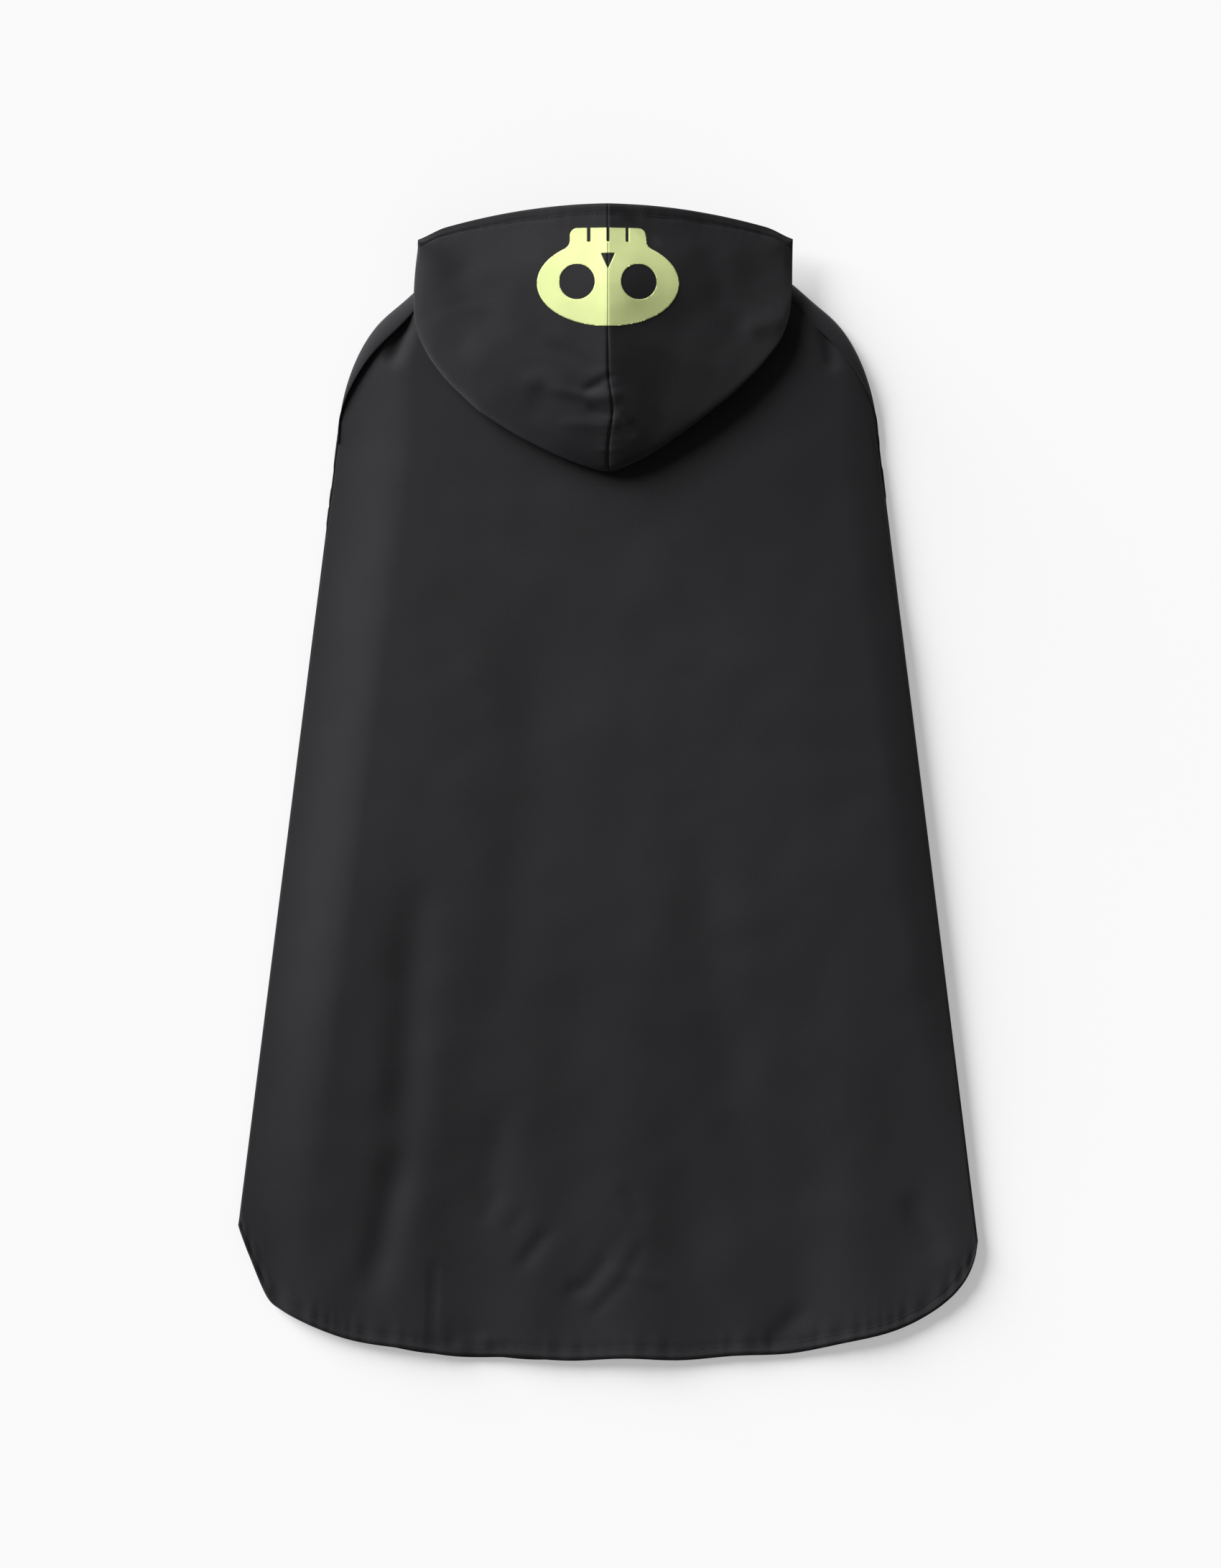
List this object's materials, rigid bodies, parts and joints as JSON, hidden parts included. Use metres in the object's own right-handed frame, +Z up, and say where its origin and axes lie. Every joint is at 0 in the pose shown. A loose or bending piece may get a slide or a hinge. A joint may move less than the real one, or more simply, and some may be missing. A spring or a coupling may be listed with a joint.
{
  "type": "hooded costume cape",
  "caption": "Child's black hooded costume cape of light woven cloth, laid flat with its back upwards, with a plain printed skull on the hood and an open front.",
  "frame": {"origin": "centre of the laid cape's outline, on the surface that it rests on", "axes": "+X to the right-hand side of the cape as it lies, +Y from the hem to the hood, +Z up, away from the surface"},
  "size_m": [0.568, 0.886, 0.0519],
  "materials": {
    "black_cloth": "matt plain-woven polyester with a faint sheen",
    "thread": "matt spun sewing thread",
    "print_ink": "flat screen-print ink on cloth",
    "label_tape": "smooth satin label tape, blank",
    "neck_tape": "matt twill tape",
    "hook_tape": "stiff hook tape",
    "loop_tape": "soft loop tape"
  },
  "bodies": {
    "cape": {"back_panel": "black_cloth", "front_left_side": "black_cloth", "front_right_side": "black_cloth", "left_side_seam": "thread", "right_side_seam": "thread", "neck_tape": "neck_tape", "size_label": "label_tape", "care_label": "label_tape", "back_hem_thread": "thread", "loop_patch": "loop_tape"},
    "hood": {"hood_left": "black_cloth", "hood_right": "black_cloth", "hood_seam_tape": "thread", "hood_hem_thread": "thread", "hood_print_left": "print_ink", "hood_print_right": "print_ink"},
    "left_front": {"front_left_flap": "black_cloth", "front_left_thread": "thread"},
    "right_front": {"front_right_flap": "black_cloth", "front_right_thread": "thread"},
    "closure": {"closure_tab": "black_cloth", "hook_patch": "hook_tape"}
  },
  "joints": [
    {"name": "hood_fold", "type": "hinge", "parent": "cape", "child": "hood", "pos_m": [0, 0.402, 0.018], "axis": [-1, 0, 0], "range_deg": [0, 90]},
    {"name": "left_front_turn", "type": "hinge", "parent": "cape", "child": "left_front", "pos_m": [-0.0005, 0.3, 0.001], "axis": [0.3484, 0.9374, 0], "range_deg": [0, 180]},
    {"name": "right_front_turn", "type": "hinge", "parent": "cape", "child": "right_front", "pos_m": [0.0005, 0.3, 0.001], "axis": [0.3484, -0.9374, 0], "range_deg": [0, 180]},
    {"name": "closure_peel", "type": "hinge", "parent": "cape", "child": "closure", "pos_m": [0.012, 0.328, 0.001], "axis": [0, -1, 0], "range_deg": [0, 180]}
  ]
}
